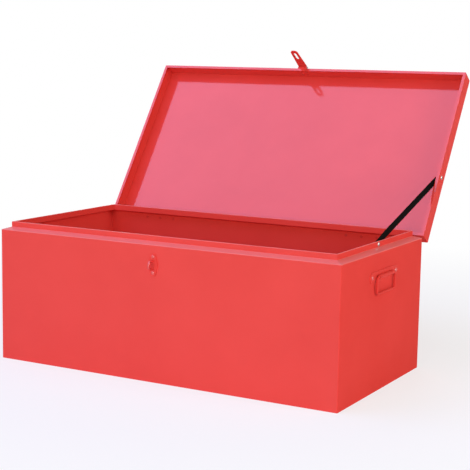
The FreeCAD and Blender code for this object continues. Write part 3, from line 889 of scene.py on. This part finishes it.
class CHEST_OT_stay(bpy.types.Operator):
    """Weave the lid stay between its two rivets"""

    bl_idname = "chest.stay"
    bl_label = "Weave lid stay"

    def execute(self, context):
        sizes = context.scene.chest_stay
        look = context.scene.chest_finish
        start, line, length, stations = stay_path()
        points = divided(rounded(stations), sizes.pitch / 2)
        mesh = webbing_mesh("lid_stay_webbing", points, start, line, sizes)
        stay = bpy.data.objects.new("lid_stay_webbing", mesh)
        context.scene.collection.objects.link(stay)
        values = {"Yarn": opaque(look.webbing), "Pitch": sizes.pitch}
        material, shader = finish_material(
            "black_webbing", weave_group(), values, bump=0.6, distance=0.0003
        )
        set_sockets(shader, Specular_IOR_Level=0.02)
        mesh.materials.append(material)
        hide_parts("lid_strap")
        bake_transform(stay)
        return {"FINISHED"}


def soft_light(name, place, target, size, power, colour):
    """A rectangular studio light aimed at a point."""
    light = bpy.data.lights.new(name, "AREA")
    light.shape = "RECTANGLE"
    light.size, light.size_y = size
    light.energy = power
    light.color = colour
    lamp = bpy.data.objects.new(name, light)
    bpy.context.scene.collection.objects.link(lamp)
    lamp.location = place
    lamp.rotation_euler = (Vector(target) - Vector(place)).to_track_quat("-Z", "Y").to_euler()


def seen_directly(tree):
    """A mask of what is seen straight, in a reflection or through a clear piece."""
    path = add_node(tree, "ShaderNodeLightPath")
    seen = arithmetic(tree, "MAXIMUM", path.outputs["Is Camera Ray"], path.outputs["Is Glossy Ray"])
    return arithmetic(tree, "MAXIMUM", seen, path.outputs["Is Transmission Ray"])


def white_world(level):
    """A world that is seen as white and lights the chest evenly at a lower level."""
    world = bpy.data.worlds.new("white studio")
    world.use_nodes = True
    tree = world.node_tree
    sky = tree.nodes["Background"]
    sky.inputs["Color"].default_value = opaque(WHITE)
    strength = add_node(tree, "ShaderNodeMapRange", To_Min=level, To_Max=1.0)
    tree.links.new(seen_directly(tree), strength.inputs["Value"])
    tree.links.new(strength.outputs["Result"], sky.inputs["Strength"])
    return world


def floor_material():
    """A matt pale floor that keeps shadows near the chest and turns white further out."""
    material = bpy.data.materials.new("pale_floor")
    material.use_nodes = True
    tree = material.node_tree
    surface = tree.nodes["Principled BSDF"]
    surface.inputs["Base Color"].default_value = opaque(FLOOR_TONE)
    set_sockets(surface, Roughness=FLOOR_ROUGHNESS, Specular_IOR_Level=0.0)
    glow = add_node(tree, "ShaderNodeEmission", Strength=1.0)
    spot = add_node(tree, "ShaderNodeTexCoord")
    reach = add_node(tree, "ShaderNodeVectorMath", operation="LENGTH")
    tree.links.new(spot.outputs["Object"], reach.inputs[0])
    near, far = WHITE_RINGS
    fade = add_node(tree, "ShaderNodeMapRange", From_Min=near, From_Max=far, To_Min=WHITE_NEAR)
    tree.links.new(reach.outputs["Value"], fade.inputs["Value"])
    share = arithmetic(tree, "MULTIPLY", seen_directly(tree), fade.outputs["Result"])
    blend = add_node(tree, "ShaderNodeMixShader")
    tree.links.new(share, blend.inputs["Fac"])
    tree.links.new(surface.outputs["BSDF"], blend.inputs[1])
    tree.links.new(glow.outputs["Emission"], blend.inputs[2])
    tree.links.new(blend.outputs["Shader"], tree.nodes["Material Output"].inputs["Surface"])
    return material


def floor_mesh():
    """One large square."""
    mesh = bpy.data.meshes.new("studio_floor")
    shape = bmesh.new()
    bmesh.ops.create_grid(shape, x_segments=1, y_segments=1, size=FLOOR_REACH)
    shape.to_mesh(mesh)
    shape.free()
    return mesh


def photo_camera(studio):
    """A camera at the photograph's place, turned by azimuth, elevation and roll."""
    data = bpy.data.cameras.new("photo_camera")
    data.sensor_width = FRAME_SIDE
    data.sensor_height = FRAME_SIDE
    data.lens = studio.lens
    back = Vector(
        (
            math.sin(studio.azimuth) * math.cos(studio.elevation),
            -math.cos(studio.azimuth) * math.cos(studio.elevation),
            math.sin(studio.elevation),
        )
    )
    right = Vector((math.cos(studio.azimuth), math.sin(studio.azimuth), 0.0))
    upright = back.cross(right)
    turned_right = right * math.cos(studio.roll) + upright * math.sin(studio.roll)
    turned_up = upright * math.cos(studio.roll) - right * math.sin(studio.roll)
    turn = Matrix((turned_right, turned_up, back)).transposed().to_4x4()
    camera = bpy.data.objects.new("photo_camera", data)
    camera.matrix_world = Matrix.Translation(Vector(studio.place)) @ turn
    return camera


class CHEST_OT_studio(bpy.types.Operator):
    """Set the pale floor, the soft lights, the world and the camera"""

    bl_idname = "chest.studio"
    bl_label = "Set studio"

    def execute(self, context):
        scene = context.scene
        studio = scene.chest_studio
        scene.view_settings.view_transform = "Standard"
        scene.world = white_world(studio.sky)
        floor = bpy.data.objects.new("studio_floor", floor_mesh())
        floor.location.z = -FLOOR_DROP
        floor.data.materials.append(floor_material())
        scene.collection.objects.link(floor)
        for name, place, target, size, colour in LIGHTS:
            soft_light(name + "_light", place, target, size, getattr(studio, name), colour)
        camera = photo_camera(studio)
        scene.collection.objects.link(camera)
        scene.camera = camera
        return {"FINISHED"}


class CHEST_PT_panel(bpy.types.Panel):
    """Buttons for the chest's pieces"""

    bl_idname = "CHEST_PT_panel"
    bl_label = "Chest"
    bl_space_type = "VIEW_3D"
    bl_region_type = "UI"
    bl_category = "Chest"

    def draw(self, context):
        for group in ("chest_finish", "chest_stay", "chest_studio"):
            settings = getattr(context.scene, group)
            for name in settings.bl_rna.properties.keys():
                if name not in ("rna_type", "name"):
                    self.layout.prop(settings, name)
        for operator in OPERATORS:
            self.layout.operator(operator.bl_idname)


SETTINGS = {"chest_finish": ChestFinish, "chest_stay": ChestStay, "chest_studio": ChestStudio}
OPERATORS = (
    CHEST_OT_walls,
    CHEST_OT_lid,
    CHEST_OT_fittings,
    CHEST_OT_rubbed,
    CHEST_OT_rivets,
    CHEST_OT_stay,
    CHEST_OT_studio,
)


def register():
    for kind in (*SETTINGS.values(), *OPERATORS, CHEST_PT_panel):
        bpy.utils.register_class(kind)
    for name, kind in SETTINGS.items():
        setattr(bpy.types.Scene, name, bpy.props.PointerProperty(type=kind))


def unregister():
    for name in SETTINGS:
        delattr(bpy.types.Scene, name)
    for kind in (CHEST_PT_panel, *reversed(OPERATORS), *reversed(tuple(SETTINGS.values()))):
        bpy.utils.unregister_class(kind)


def main():
    register()
    bpy.ops.chest.walls()
    bpy.ops.chest.lid()
    bpy.ops.chest.fittings()
    bpy.ops.chest.rubbed()
    bpy.ops.chest.rivets()
    bpy.ops.chest.stay()
    bpy.ops.chest.studio()


if __name__ == "__main__":
    main()
